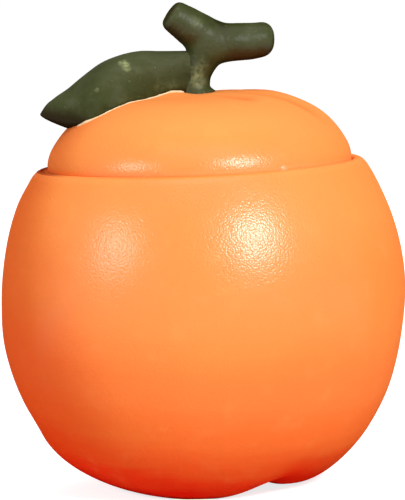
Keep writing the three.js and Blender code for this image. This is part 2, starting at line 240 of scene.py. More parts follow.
def flow(knots, values, places):
    """Smooth curve through values at knots: on each span a cubic that takes its slopes from the
    neighbours."""
    knots, values = np.array(knots, float), np.array(values, float)
    slopes = np.gradient(values, knots)
    span = np.clip(np.searchsorted(knots, places) - 1, 0, len(knots) - 2)
    width = knots[span + 1] - knots[span]
    t = np.clip((places - knots[span]) / width, 0, 1)
    rise = values[span + 1] - values[span]
    start, end = slopes[span] * width, slopes[span + 1] * width
    curve = t * start + t * t * (3 * rise - 2 * start - end) + t ** 3 * (start + end - 2 * rise)
    return values[span] + curve


def round_quads(rows, columns, rows_close=False):
    """Corners of the quads of a grid whose columns run round, and whose rows close too if asked."""
    row = np.arange(rows if rows_close else rows - 1)[:, None]
    column = np.arange(columns)[None, :]
    ahead, beside = (row + 1) % rows, (column + 1) % columns
    here, there = row * columns, ahead * columns
    return np.stack([here + column, here + beside, there + beside, there + column], -1).reshape(-1, 4)


def closed_by_poles(points):
    """A grid of rings whose first and last ring are single points: its points, and its quads and fans."""
    rows, columns = points.shape[0] - 2, points.shape[1]
    ring = np.arange(columns)
    first, last = rows * columns, rows * columns + 1
    end = (rows - 1) * columns
    start_fan = np.column_stack([np.full(columns, first), np.roll(ring, -1), ring])
    end_fan = np.column_stack([np.full(columns, last), end + ring, end + np.roll(ring, -1)])
    inner = points[1:-1].reshape(-1, 3)
    places = np.vstack([inner, points[0, :1], points[-1, :1]])
    return places, round_quads(rows, columns).tolist() + start_fan.tolist() + end_fan.tolist()


def pole_values(values):
    """Values on a grid of rings in the order of closed_by_poles."""
    return np.concatenate([values[1:-1].ravel(), values[0, :1], values[-1, :1]])


def faces_out(points, faces):
    """The faces, turned round if the volume that they enclose comes out negative."""
    corners = np.array([[face[0], face[1], face[2]] for face in faces] + [
        [face[0], face[2], face[3]] for face in faces if len(face) == 4
    ])
    first, second, third = (points[corners[:, i]] for i in range(3))
    volume = np.einsum("ij,ij->i", first, np.cross(second, third)).sum()
    return faces if volume > 0 else [face[::-1] for face in faces]


def new_piece(name, points, faces, material, marks=None):
    """A smooth mesh object from points in millimetres, with one float attribute for each mark."""
    mesh = bpy.data.meshes.new(name)
    mesh.from_pydata((points * MM).tolist(), [], faces_out(points, faces))
    for mark, values in (marks or {}).items():
        attribute = mesh.attributes.new(mark, "FLOAT", "POINT")
        attribute.data.foreach_set("value", np.ascontiguousarray(values, dtype=np.float32))
    mesh.shade_smooth()
    mesh.materials.append(material)
    piece = bpy.data.objects.new(name, mesh)
    bpy.context.scene.collection.objects.link(piece)
    return piece


def piece_of_rings(name, points, marks, material):
    """A piece from a grid of rings that ends in single points, with its marks on the same grid."""
    places, faces = closed_by_poles(points)
    return new_piece(name, places, faces, material, {mark: pole_values(marks[mark]) for mark in marks})


def turned(outline):
    """x, y and z of an outline of (radius, height) turned round Z."""
    angle = np.linspace(0, 2 * np.pi, TURN_SIDES, endpoint=False)
    x = outline[:, :1] * np.cos(angle)
    y = outline[:, :1] * np.sin(angle)
    z = np.repeat(outline[:, 1:], TURN_SIDES, axis=1)
    return x, y, z


def row_mark(rows):
    """1 all round on the chosen rows of a turned outline, 0 on the others."""
    return np.repeat(rows.astype(float)[:, None], TURN_SIDES, axis=1)


def body_outline():
    """Outline of the body from the middle of the floor up the inside, over the rim and down to the navel."""
    radius = BODY_RADIUS - WALL
    semi_axis = UPPER_RISE - WALL
    turn = np.linspace(np.pi / 2, 0, 80)
    floor = np.column_stack([
        radius * np.clip(np.cos(turn), 0, 1) ** (2 / FLOOR_POWER),
        EQUATOR_HEIGHT - (EQUATOR_HEIGHT - FLOOR_HEIGHT) * np.sin(turn) ** (2 / FLOOR_POWER),
    ])
    cove_rise = RIM_RISE - MOUTH_LAND - COVE_DEPTH
    rise = np.linspace(0, cove_rise, 30)
    wall = np.column_stack([upper_radius(rise, radius, semi_axis), EQUATOR_HEIGHT + rise])
    mouth = [[MOUTH_RADIUS, RIM_HEIGHT - MOUTH_LAND], [MOUTH_RADIUS, RIM_HEIGHT - MOUTH_EDGE]]

    rim_foot_rise = RIM_RISE - RIM_ROUND
    rim_foot = [upper_radius(rim_foot_rise, BODY_RADIUS, UPPER_RISE), EQUATOR_HEIGHT + rim_foot_rise]
    seat = [mouth[-1], [MOUTH_RADIUS, SEAT_HEIGHT], [LIP_RADIUS, SEAT_HEIGHT]]
    lip = bend(seat[-1], [LIP_RADIUS, RIM_HEIGHT], [LIP_RADIUS + LIP_ROUND, RIM_HEIGHT])
    rim = bend([RIM_EDGE_RADIUS - RIM_ROUND_RUN, RIM_HEIGHT], [RIM_EDGE_RADIUS, RIM_HEIGHT], rim_foot)
    rise = np.linspace(rim_foot_rise, 0, 60)
    shoulder = np.column_stack([upper_radius(rise, BODY_RADIUS, UPPER_RISE), EQUATOR_HEIGHT + rise])
    across = BODY_RADIUS * np.cos(np.linspace(0, math.acos(HEEL_RADIUS / BODY_RADIUS), 80))
    belly = np.column_stack([across, belly_height(across)])
    heel = belly[-1]
    slope = (belly[-2, 1] - heel[1]) / (belly[-2, 0] - heel[0])
    corner = [heel[0] - (heel[1] + FOOT_GRIND) / slope, -FOOT_GRIND]
    foot = bend(heel, corner, [CONTACT_RADIUS, -FOOT_GRIND])
    t = np.linspace(1, 0, 40)
    navel = np.column_stack([CONTACT_RADIUS * t, NAVEL_RISE * (np.cos(np.pi * t) + 1) / 2 - FOOT_GRIND])
    inside = even_outline([floor, wall, mouth], INSIDE_STEP)
    edge = even_outline([seat, lip, rim], RIM_STEP)
    outside = even_outline([shoulder, belly, foot, navel], OUTSIDE_STEP)
    return np.vstack([inside, edge[1:], outside[1:]])


def base_lobes(x, y):
    """The underside's lobes: how near each point is to a crease, reckoned wider where a lobe starts, how
    far the lobes roll in towards the creases, and how far each point is from its lobe's lowest line,
    rounded where lobes meet."""
    pitch = 2 * np.pi / BASE_LOBES
    turns = (np.arctan2(y, x) - BASE_CREASE_AZIMUTH) / pitch
    lobe = np.floor(turns).astype(int) % BASE_LOBES
    along = turns % 1
    arc = pitch * np.hypot(x, y)
    from_start, to_end = along * arc, (1 - along) * arc
    beside = np.maximum(
        np.exp(-((from_start / DEEP_RED_REACH) ** 2)), np.exp(-((to_end / DEEP_RED_SPILL) ** 2))
    )
    near = np.exp(-((np.minimum(along, 1 - along) * arc / BASE_CREASE_WIDTH) ** 2))
    roll_in = np.maximum(near, np.exp(-((to_end / LOBE_ROLL_IN) ** 2)))
    from_meeting = 1 - (2 * along ** LOBE_LEANS[lobe] - 1) ** 2
    ends = np.hypot(1, LOBE_MEETING_ROUND) - np.hypot(from_meeting, LOBE_MEETING_ROUND)
    return beside, roll_in, ends


def body_surface():
    """The turned outline. Its outside swells a little unevenly, its lip tilts a little and stands off the
    lid at the left, and its underside is lobed and ground flat at z 0. With it come marks for the glaze."""
    outline = body_outline()
    x, y, z = turned(outline)
    radius = np.hypot(x, y)
    to_right = np.cos(np.arctan2(y, x))
    seat_row = np.argmax(outline[:, 1] > SEAT_HEIGHT - SEAT_MARGIN)
    inside = row_mark(np.arange(len(outline)) <= seat_row)
    outside = 1 - inside
    past_lip = rounded_step(radius, LIP_RADIUS - LIP_FADE, LIP_RADIUS + LIP_ROUND)
    upper = rounded_step(z, RIM_HEIGHT - RIM_REACH, RIM_HEIGHT - RIM_ROUND)
    crest = rounded_step(z, RIM_HEIGHT - RIM_ROUND, RIM_HEIGHT - CREST_TOP)

    left = np.clip(-to_right, 0, 1) ** SWELL_NARROWING * flow(SIDE_HEIGHTS, LEFT_SWELL, z)
    right = np.clip(to_right, 0, 1) ** SWELL_NARROWING * flow(SIDE_HEIGHTS, RIGHT_SWELL, z)
    lip = rounded_step(radius, LIP_RADIUS - LEFT_GAP_FADE, LIP_RADIUS)
    lip = lip * (1 - rounded_step(radius, LIP_RADIUS, RIM_EDGE_RADIUS))
    gap = LEFT_GAP * np.clip(-to_right, 0, 1) ** LEFT_GAP_NARROWING * lip * upper
    swell = outside * ((left + right) * between(1, past_lip, upper) + gap)
    grow = 1 + swell / np.maximum(radius, SWELL_CORE)
    x, y = x * grow, y * grow
    z = z + outside * past_lip * upper * (LIP_SET + LIP_TILT * x)

    beside, roll_in, ends = base_lobes(x, y)
    fade = rounded_step(np.hypot(x, y), 0, CONTACT_RADIUS / 2) * (1 - rounded_step(z, 0, BASE_RELIEF_HEIGHT))
    crease_fade = 1 - rounded_step(z, 0, BASE_CREASE_HEIGHT)
    raised = z + outside * fade * (LOBE_RISE * ends + BASE_CREASE_DEPTH * roll_in * crease_fade)
    points = np.stack([x, y, np.maximum(raised, 0)], -1)

    # Painted shade, deep red, beside the underside's creases
    deep = outside * beside * (1 - rounded_step(z, 0, DEEP_RED_HEIGHT))
    # Paler on the shoulders as painted light
    shoulders = rounded_step(z, *SHOULDER_HEIGHTS) * rounded_step(np.abs(x), *SHOULDER_SIDES)
    shoulders = shoulders * rounded_step(x, *SHOULDER_LEFT_END)
    # Painted shade, dark, along the inner lip in the gap at the left
    inner_lip = rounded_step(radius, LID_RADIUS, LIP_RADIUS)
    inner_lip = inner_lip * (1 - rounded_step(radius, LIP_RADIUS, LIP_RADIUS + GAP_SHADE_SPREAD))
    # Marks: lining, bare clay, painted shade by the creases, paler thin glaze on the crest with painted
    # light, painted shade on the left flank and in the gap at the left
    marks = {
        "lining": inside,
        "bare": outside * (1 - rounded_step(raised, *GROUND_HEIGHTS)),
        "deep": deep * (1 - DEEP_RED_LEFT_LOSS * rounded_step(-x, *DEEP_RED_LEFT)),
        "thin": outside * (CREST_PALENESS * crest + SHOULDER_PALENESS * shoulders),
        "flank": rounded_step(-to_right, *FLANK_TURN),
        "pool": GAP_SHADE_SHARE * outside * upper * inner_lip * rounded_step(-to_right, *GAP_SHADE_TURN),
    }
    return points, marks


def lid_dome():
    """Outline of the dome from the crown to the edge, the rim's height at zero: three arcs that join
    smoothly, flared a little towards the edge."""
    shoulder_end = LID_RADIUS - LID_EDGE_ROUND * (1 - math.sin(LID_SHOULDER_SLOPE))
    crown_reach = shoulder_end - LID_SHOULDER_ROUND * math.sin(LID_SHOULDER_SLOPE)
    crown_reach /= 1 - LID_SHOULDER_ROUND / LID_CROWN_ROUND
    crown_slope = math.asin(crown_reach / LID_CROWN_ROUND)
    arcs = (
        (LID_CROWN_ROUND, 0, crown_slope),
        (LID_SHOULDER_ROUND, crown_slope, LID_SHOULDER_SLOPE),
        (LID_EDGE_ROUND, LID_SHOULDER_SLOPE, math.pi / 2),
    )
    outline = np.zeros((1, 2))
    for rounding, start, end in arcs:
        slope = np.linspace(start, end, 40)[1:]
        run = rounding * (np.sin(slope) - math.sin(start))
        fall = rounding * (math.cos(start) - np.cos(slope))
        outline = np.vstack([outline, outline[-1] + np.column_stack([run, -fall])])
    outline = outline + [0, LID_EDGE_LIFT - outline[-1, 1]]
    low = np.clip(1 - outline[:, 1] / LID_FLARE_HEIGHT, 0, 1)
    return outline + np.column_stack([LID_FLARE * low ** 2, 0 * low])


LID_DOME = lid_dome()
CROWN_HEIGHT = RIM_HEIGHT + LID_DOME[0, 1]


def lid_underside():
    """Flange with its groove and the hollow, from the seat to the axis."""
    groove_radius = FLANGE_RADIUS - GROOVE_DEPTH
    groove_foot = GROOVE_TOP + GROOVE_HEIGHT
    depth = groove_foot + FLANGE_LIP
    flange = [
        [FLANGE_RADIUS, -LIP_RISE],
        [FLANGE_RADIUS, -GROOVE_TOP],
        [groove_radius, -GROOVE_TOP],
        [groove_radius, -groove_foot],
        [FLANGE_RADIUS, -groove_foot],
        [FLANGE_RADIUS, FLANGE_CHAMFER - depth],
        [FLANGE_RADIUS - FLANGE_CHAMFER, -depth],
        [HOLLOW_RADIUS, -depth],
    ]
    rise = np.linspace(0, np.pi / 2, 60)
    hollow_height = LID_DOME[0, 1] - LID_WALL
    hollow = np.column_stack([HOLLOW_RADIUS * np.cos(rise), hollow_height * np.sin(rise)])
    return [flange, hollow]


def lid_outline():
    """Outline of the lid from the crown over the dome, its rolled edge and the seat to the middle of the
    hollow."""
    turn = np.linspace(0, np.pi / 2, 12)
    roll = np.column_stack([
        LID_DOME[-1, 0] - LID_EDGE_ROLL * (1 - np.cos(turn)),
        LID_EDGE_ROLL * (1 - np.sin(turn)) - LIP_RISE,
    ])
    seat = roll[-1:] - [1, 0]
    dome = even_outline([LID_DOME[:-LID_EDGE_POINTS]], LID_STEP)
    edge = even_outline([LID_DOME[-LID_EDGE_POINTS:], roll, seat], LID_EDGE_STEP)
    under = even_outline([seat, *lid_underside()], LID_STEP)
    return np.vstack([dome, edge[1:], under[1:]])


def lid_creases(x, y):
    """How deep the crown's creases are: a bell across each crease that fades in and out along it."""
    deep = np.zeros_like(x)
    for degrees, depth, width, start, end in LID_CREASES:
        azimuth = math.radians(degrees)
        along = x * math.cos(azimuth) + y * math.sin(azimuth)
        across = y * math.cos(azimuth) - x * math.sin(azimuth)
        middle = (start + end) / 2
        fade = rounded_step(along, start, middle) * (1 - rounded_step(along, middle, end))
        deep = deep + depth * fade * np.exp(-((across / width) ** 2))
    return deep


def lid_relief(x, y):
    """Height that the lumps add to the crown and the creases take away."""
    height = -lid_creases(x, y)
    for lump_x, lump_y, lump_height, spread in LID_LUMPS:
        away = np.hypot(x - lump_x, y - lump_y) / spread
        height = height + lump_height * np.exp(-(away ** 2))
    return height


def dome_height(x, y):
    """Height of the lid's outside above the table at a place on the crown."""
    flat = np.interp(np.hypot(x, y), LID_DOME[:, 0], LID_DOME[:, 1])
    return RIM_HEIGHT + flat + lid_relief(x, y)


def lid_surface():
    """The dome with its lumps and creases, closed underneath by the seat, the flange and the hollow. With
    it come marks for the glaze."""
    outline = lid_outline()
    x, y, z = turned(outline)
    under = np.arange(len(outline)) > np.argmax(outline[:, 0])
    dome = row_mark(~under)
    points = np.stack([x, y, RIM_HEIGHT + z + dome * lid_relief(x, y)], -1)

    past_flange = outline[:, 0] - FLANGE_RADIUS
    seat = (outline[:, 1] < SEAT_BARE_HEIGHT - LIP_RISE) & (past_flange > SEAT_BARE_START)
    # Paler as painted light along the lower edge, on the sides and on top; painted shade in the creases and
    # on the left flank
    edge = (1 - rounded_step(z, *LID_EDGE_PALE_HEIGHTS)) * rounded_step(x, *LID_EDGE_PALE_SIDE)
    sides = LID_SIDE_PALENESS * rounded_step(np.abs(x), *LID_SIDES)
    marks = {
        "lining": row_mark(under & (past_flange < LINING_END)),
        "bare": row_mark(under & seat),
        "crease": dome * lid_creases(x, y),
        "thin": edge + dome * between(sides, LID_TOP_PALENESS, rounded_step(z, *LID_TOP_HEIGHTS)),
        "flank": rounded_step(-x / np.maximum(np.hypot(x, y), 1), *FLANK_TURN),
    }
    return points, marks


def seal_surface():
    """A ring's section of band and two fins, closed on itself and turned round Z."""
    inner = FLANGE_RADIUS - GROOVE_DEPTH + SEAL_CLEARANCE
    band = inner + SEAL_BAND
    tip = MOUTH_RADIUS - SEAL_CLEARANCE
    top = -GROOVE_TOP - SEAL_CLEARANCE
    foot = -GROOVE_TOP - GROOVE_HEIGHT + SEAL_CLEARANCE
    section = np.array([
        [inner, foot],
        [band, foot],
        [tip, foot + SEAL_FIN - SEAL_FIN_TIP],
        [tip, foot + SEAL_FIN],
        [band, foot + SEAL_FIN],
        [band, top - SEAL_FIN],
        [tip, top - SEAL_FIN_TIP],
        [tip, top],
        [inner, top],
        [inner, foot],
    ])
    section = even_outline([section], SEAL_STEP, soften=1)[:-1]
    x, y, z = turned(section + [0, RIM_HEIGHT])
    return np.stack([x, y, z], -1)


def limb_distance(points, path, radii):
    """Distance from points to a limb: round cones along the spans of a path, negative inside."""
    start, along = path[:-1], np.diff(path, axis=0)
    offset = points[:, None, :] - start
    share = np.clip((offset * along).sum(-1) / (along ** 2).sum(-1), 0, 1)
    away = np.linalg.norm(offset - share[..., None] * along, axis=-1)
    return (away - radii[:-1] - share * np.diff(radii)).min(axis=1)


def joined(first, second, fillet):
    """Union of two distances whose meeting line is filled to about the fillet's width."""
    share = np.clip(0.5 + 0.5 * (second - first) / fillet, 0, 1)
    return between(second, first, share) - fillet * share * (1 - share)


def cut(distance, other, rounding):
    """What two distances have in common, its edge rounded."""
    return -joined(-distance, -other, rounding)


# Twig, heights above the crown: the trunk bends into the right arm, the left arm leaves it at the fork
TRUNK_PATH = np.array([
    [-0.2, 0, -2], [-0.3, 0, 2], [0.05, 0, 5], [1.1, 0, 8], [3.6, 0, 11.5],
    [8.6, 0.3, 13.1], [13, 0.8, 13.15], [17, 1.3, 13.5], [22, 1.8, 14.0],
])
TRUNK_RADII = np.array([3.8, 3.7, 3.7, 4.15, 4.8, 4.95, 4.85, 4.6, 4.2])
TRUNK_SPANS = 26
RIGHT_ARM_END = np.array([20.5, 1.6, 13.8])
RIGHT_ARM_CUT = np.array([1, 0.1, 0])
RIGHT_END_ROUND = 3.6
LEFT_ARM_PATH = np.array([[2.9, 0.8, 14.6], [-0.9, -0.8, 17.3], [-5.25, -2.0, 20.5], [-8.85, -2.6, 23.3]])
LEFT_ARM_RADII = np.array([5.3, 4.9, 4.15, 3.85])
LEFT_ARM_SPANS = 12
LEFT_ARM_END = np.array([-6.85, -2.2, 21.25])
LEFT_END_ROUND = 2.2
FORK_FILLET = 2.2
KNOB_HEIGHT = 0.05
KNOB_WAVES = np.array([[0.9, 0.7, 0.3], [-0.4, 0.8, 0.7]])

# Foot of the twig: a flattened flare with a bulge at the left, cut off inside the lid
FLARE_MIDDLE = np.array([0.5, 0, -0.6])
FLARE_FLATTENING = np.array([1, 1, 2.2])
FLARE_RADIUS = 5.2
BULGE_MIDDLE = np.array([-1.4, -0.6, 1.2])
BULGE_RADIUS = 3.0
BULGE_FILLET = 1.2
FOOT_FILLET = 1.8
FOOT_BOTTOM = -1.6
FOOT_BOTTOM_ROUND = 0.5

# Brown of the twig: painted shade on the undersides of the arms by slope, and the cut ends' own brown
ARM_START_X = (5, 11)
ARM_START_Z = (12, 15)
UNDERSIDE_SLOPES = (-0.15, 0.75)
CUT_END_DEPTHS = (-0.7, 0)
CUT_END_BROWN = 0.7


def past_cuts(points):
    """How far points lie past the planes that cut off the right and the left arm."""
    left_way = LEFT_ARM_PATH[-1] - LEFT_ARM_PATH[-2]
    right = (points - RIGHT_ARM_END) @ (RIGHT_ARM_CUT / np.linalg.norm(RIGHT_ARM_CUT))
    left = (points - LEFT_ARM_END) @ (left_way / np.linalg.norm(left_way))
    return right, left


def fine_path(path, radii, spans):
    """A path and its radii laid out in many short spans, smoothly through the given points."""
    length = np.concatenate([[0], np.cumsum(np.linalg.norm(np.diff(path, axis=0), axis=1))])
    places = np.linspace(0, length[-1], spans + 1)
    columns = [flow(length, column, places) for column in (*path.T, radii)]
    return np.column_stack(columns[:3]), columns[3]


def limb_tube(path, radii):
    """Points and faces of a plain tube round a path, with flat ends."""
    centre, radius = fine_path(path, radii, TUBE_SPANS)
    heading = np.gradient(centre, axis=0)
    heading /= np.linalg.norm(heading, axis=1)[:, None]
    side = np.cross(heading, [0, 1, 0])
    side /= np.linalg.norm(side, axis=1)[:, None]
    other = np.cross(heading, side)
    angle = np.linspace(0, 2 * np.pi, TUBE_SIDES, endpoint=False)[None, :, None]
    ring = np.cos(angle) * side[:, None] + np.sin(angle) * other[:, None]
    points = centre[:, None] + radius[:, None, None] * ring
    start = np.repeat(centre[:1, None], TUBE_SIDES, axis=1)
    end = np.repeat(centre[-1:, None], TUBE_SIDES, axis=1)
    return closed_by_poles(np.concatenate([start, points, end]))


def twig_distance(points):
    """Distance to the twig: two limbs cut off at their ends and joined with fillets, on a flared foot."""
    right_end, left_end = past_cuts(points)
    knobs = KNOB_HEIGHT * np.sin(points @ KNOB_WAVES[0]) * np.sin(points @ KNOB_WAVES[1])
    trunk = limb_distance(points, *fine_path(TRUNK_PATH, TRUNK_RADII, TRUNK_SPANS))
    trunk = cut(trunk, right_end, RIGHT_END_ROUND)
    left = limb_distance(points, *fine_path(LEFT_ARM_PATH, LEFT_ARM_RADII, LEFT_ARM_SPANS))
    left = cut(left, left_end, LEFT_END_ROUND)
    flare = np.linalg.norm((points - FLARE_MIDDLE) * FLARE_FLATTENING, axis=1) - FLARE_RADIUS
    bulge = np.linalg.norm(points - BULGE_MIDDLE, axis=1) - BULGE_RADIUS
    foot = joined(flare, bulge, BULGE_FILLET)
    whole = joined(joined(trunk, left, FORK_FILLET), foot, FOOT_FILLET)
    return cut(whole, FOOT_BOTTOM - points[:, 2], FOOT_BOTTOM_ROUND) + knobs


def twig_slope(points):
    """Slope of the twig's distance, which points out of its skin, from differences along the three axes."""
    probe = 0.05
    ahead = [twig_distance(points + probe * axis) for axis in np.eye(3)]
    behind = [twig_distance(points - probe * axis) for axis in np.eye(3)]
    return (np.stack(ahead, -1) - np.stack(behind, -1)) / (2 * probe)


def rough_twig():
    """Points and faces of a coarse skin round the twig's two limbs, made of voxels."""
    paths = ((TRUNK_PATH, TRUNK_RADII), (LEFT_ARM_PATH, LEFT_ARM_RADII))
    meshes = [limb_tube(path, radii) for path, radii in paths]
    count = len(meshes[0][0])
    points = np.vstack([mesh[0] for mesh in meshes])
    faces = meshes[0][1] + [[corner + count for corner in face] for face in meshes[1][1]]
    rough = new_piece("twig_rough", points / MM, faces, None)
    remesh = rough.modifiers.new("skin", "REMESH")
    remesh.mode = "VOXEL"
    remesh.voxel_size = TWIG_VOXEL
    bpy.context.view_layer.update()
    skin = bpy.data.meshes.new_from_object(rough.evaluated_get(bpy.context.evaluated_depsgraph_get()))
    bpy.data.objects.remove(rough)
    places = np.empty(len(skin.vertices) * 3)
    skin.vertices.foreach_get("co", places)
    return places.reshape(-1, 3), [list(polygon.vertices) for polygon in skin.polygons]


def twig_surface():
    """The twig's skin: the rough skin, each point moved along the slope of the twig's distance until that is
    zero. Undersides of the arms are marked for a brown painted shade, and the cut ends for their own brown."""
    places, faces = rough_twig()
    for _ in range(TWIG_ROUNDS):
        slope = twig_slope(places)
        steep = np.maximum((slope ** 2).sum(-1), TWIG_LEAST_STEEPNESS)
        step = np.clip(twig_distance(places), -TWIG_LONGEST_STEP, TWIG_LONGEST_STEP)
        places = places - (step / steep)[:, None] * slope
    on_arm = np.maximum(rounded_step(places[:, 0], *ARM_START_X), rounded_step(places[:, 2], *ARM_START_Z))
    down = rounded_step(-twig_slope(places)[:, 2], *UNDERSIDE_SLOPES) * on_arm
    cut_ends = rounded_step(np.maximum(*past_cuts(places)), *CUT_END_DEPTHS)
    return places + [0, 0, CROWN_HEIGHT], faces, {"brown": np.maximum(down, CUT_END_BROWN * cut_ends)}


# Leaf, by distance from the axis: its ridge's height above the crown, and y of the ridge and the margins
LEAF_REACH = (1.0, 5.0, 9.5, 14.8, 20.1, 25.4, 28.0, 30.7, 33.4, 37.4, 39.5, 41.0)
LEAF_RIDGE = (11.1, 11.2, 11.35, 11.55, 10.6, 8.5, 6.75, 4.75, 2.65, 0.15, -1.5, -3.6)
LEAF_RIDGE_Y = (0, -0.5, -1.2, -2.0, -2.8, -3.5, -3.8, -4.1, -4.3, -4.5, -4.55, -4.6)
LEAF_FRONT_Y = (-3.4, -4.1, -6.2, -10.3, -13.9, -14.9, -13.8, -11.6, -9.4, -6.8, -5.6, -4.6)
LEAF_BACK_Y = (3.4, 4.1, 5.4, 7.4, 8.6, 8.4, 7.6, 6.2, 4.2, 0.4, -1.8, -4.6)
# Height of the margins above the crown where they leave the lid, by distance from the axis
LEAF_LIFT_REACH = (26.0, 29.0, 31.7, 34.1, 36.4, 38.5, 41.0)
LEAF_LIFT_MARGIN = (-4.9, -5.1, -5.2, -4.95, -4.48, -4.06, -3.6)
LEAF_LIFT_START = (26, 32)
LEAF_BOW = 2.75
LEAF_BOW_END = 7
LEAF_FULLNESS = 1.9
LEAF_ROOT_FULLNESS = 4
LEAF_ROOT = (2, 14)
LEAF_RIB_HEIGHT = 0.22
LEAF_RIB_WIDTH = 0.9
LEAF_RIB_END = 8
LEAF_SINK = 0.3
# Widths of the dark painted shade along the margins, near the trunk and at the tip
LEAF_EDGE = 0.6
LEAF_TIP_EDGE = 2.2

# Bead of slip along the leaf's front margin, by distance from the axis
BEAD_START = 3.5
BEAD_END = 31
BEAD_OUT = 0.1
BEAD_SINK = 0.05
BEAD_TRUNK_RADIUS = 0.42
BEAD_RADIUS = 0.24
BEAD_THINNING = (5, 16)
BEAD_TIP_GAIN = 0.17
BEAD_TIP = (24, 29)
BEAD_UNEVENNESS = 0.3
BEAD_WAVES = (1.7, 0.6)


def leaf_surface():
    """Sections across the leaf from the trunk to the tip. Over the top each is half a superellipse from the
    back margin over the ridge to the front margin; underneath it is a shallow bow. Margins lie on the lid's
    dome and leave it towards the tip. Margins and underside are marked for a dark painted shade, the ridge
    for a grey painted sheen. Margins, underside and ridge are marked."""
    reach = between(LEAF_REACH[0], LEAF_REACH[-1], np.sin(np.linspace(0, np.pi / 2, LEAF_SECTIONS)))[:, None]
    ridge_y, front_y, back_y, ridge = (
        flow(LEAF_REACH, values, reach) for values in (LEAF_RIDGE_Y, LEAF_FRONT_Y, LEAF_BACK_Y, LEAF_RIDGE)
    )
    from_tip = LEAF_REACH[-1] - reach
    free_margin = flow(LEAF_LIFT_REACH, LEAF_LIFT_MARGIN, reach)
    lifted = rounded_step(reach, *LEAF_LIFT_START)
    bow = LEAF_BOW * lifted * np.sqrt(np.clip(from_tip / LEAF_BOW_END, 0, 1))

    over = np.linspace(-np.pi / 2, np.pi / 2, LEAF_TOP_POINTS)[None, 1:-1]
    power = 2 / between(LEAF_ROOT_FULLNESS, LEAF_FULLNESS, rounded_step(reach, *LEAF_ROOT))
    out = np.sign(over) * np.abs(np.sin(over)) ** power
    up = np.cos(over) ** power
    under = np.linspace(np.pi / 2, -np.pi / 2, LEAF_UNDER_POINTS)[None, :]

    def margin(y):
        on_lid = dome_height(-reach, y) - CROWN_HEIGHT - LEAF_SINK
        return between(on_lid, free_margin, lifted)

    front, back = margin(front_y), margin(back_y)
    half = np.where(out < 0, back_y - ridge_y, ridge_y - front_y)
    top_y = ridge_y - half * out
    foot = np.where(out < 0, back, front)
    rib = np.exp(-((np.abs(top_y - ridge_y) / LEAF_RIB_WIDTH) ** 2)) * rounded_step(from_tip, 0, LEAF_RIB_END)
    top_z = between(foot, ridge, up) + LEAF_RIB_HEIGHT * rib
    sweep = (np.sin(under) + 1) / 2
    under_y = between(back_y, front_y, sweep)
    under_z = between(back, front, sweep) - bow * np.cos(under)
    y = np.concatenate([top_y, under_y], axis=1)
    z = np.concatenate([top_z, under_z], axis=1)
    x = np.broadcast_to(-reach, y.shape)
    points = np.stack([x, y, z + CROWN_HEIGHT], -1)
    root = np.repeat(points[:1].mean(axis=1, keepdims=True), points.shape[1], axis=1)
    tip = np.repeat(points[-1:].mean(axis=1, keepdims=True), points.shape[1], axis=1)

    # Marks: dark painted shade along the margins and over the underside, grey painted sheen on the ridge
    from_margin = np.hypot(half * (1 - np.abs(out)), top_z - foot)
    edge_width = between(LEAF_EDGE, LEAF_TIP_EDGE, lifted)
    edge = np.concatenate([np.exp(-((from_margin / edge_width) ** 2)), np.ones_like(under_y)], axis=1)
    edge = np.concatenate([edge[:1], edge[:-1], edge[-1:]])
    ridge_sheen = np.concatenate([up ** 2, np.zeros_like(under_y)], axis=1)
    ridge_sheen = np.concatenate([ridge_sheen[:1], ridge_sheen[:-1], ridge_sheen[-1:]])
    return np.concatenate([root, points[:-1], tip]), {"edge": edge, "ridge": ridge_sheen}


def slip_bead():
    """A thin, uneven bead of slip on the lid along the leaf's front margin, thicker near the trunk and
    towards the leaf's tip."""
    reach = np.linspace(BEAD_START, BEAD_END, BEAD_POINTS)
    y = flow(LEAF_REACH, LEAF_FRONT_Y, reach) - BEAD_OUT
    path = np.column_stack([-reach, y, dome_height(-reach, y) - BEAD_SINK])
    swelling = 1 + BEAD_UNEVENNESS * np.sin(reach * BEAD_WAVES[0]) * np.sin(reach * BEAD_WAVES[1])
    radii = between(BEAD_TRUNK_RADIUS, BEAD_RADIUS, rounded_step(reach, *BEAD_THINNING))
    radii = radii + BEAD_TIP_GAIN * rounded_step(reach, *BEAD_TIP)
    return limb_tube(path, radii * swelling)


